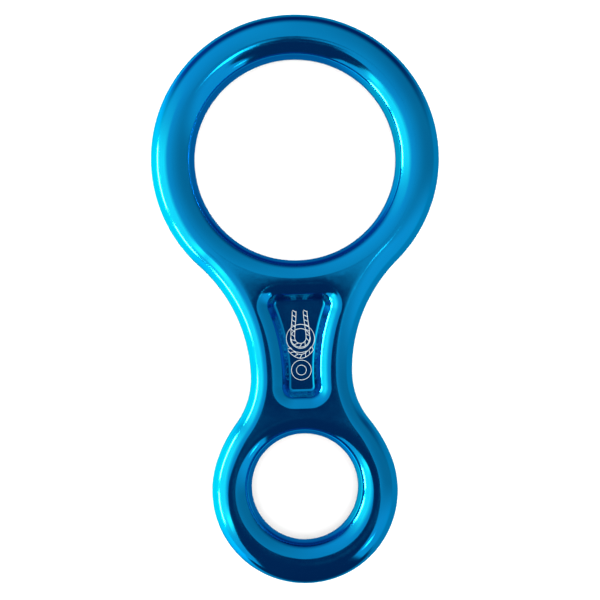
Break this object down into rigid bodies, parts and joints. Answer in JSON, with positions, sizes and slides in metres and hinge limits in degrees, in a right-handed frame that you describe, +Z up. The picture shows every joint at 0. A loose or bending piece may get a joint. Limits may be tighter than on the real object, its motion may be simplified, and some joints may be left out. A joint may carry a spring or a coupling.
{
  "type": "figure-eight descender",
  "caption": "Figure-eight descender: large rope ring and small carabiner ring forged in one with a waisted neck, which has a tapered pocket on each face.",
  "frame": {"origin": "under the middle of the forging's length and width, on the surface that its back face lies on", "axes": "+X across the rings, +Y along the forging from the small ring to the large ring, +Z up through the thickness, out of the face with the rigging mark"},
  "size_m": [0.076, 0.15, 0.012],
  "materials": {
    "anodised_forging": "polished, clear blue anodised, glossy",
    "laser_mark": "laser-etched, pale and matt"
  },
  "bodies": {
    "root": {"large_ring": "anodised_forging", "neck": "anodised_forging", "small_ring": "anodised_forging", "rigging_mark": "laser_mark"}
  },
  "joints": []
}
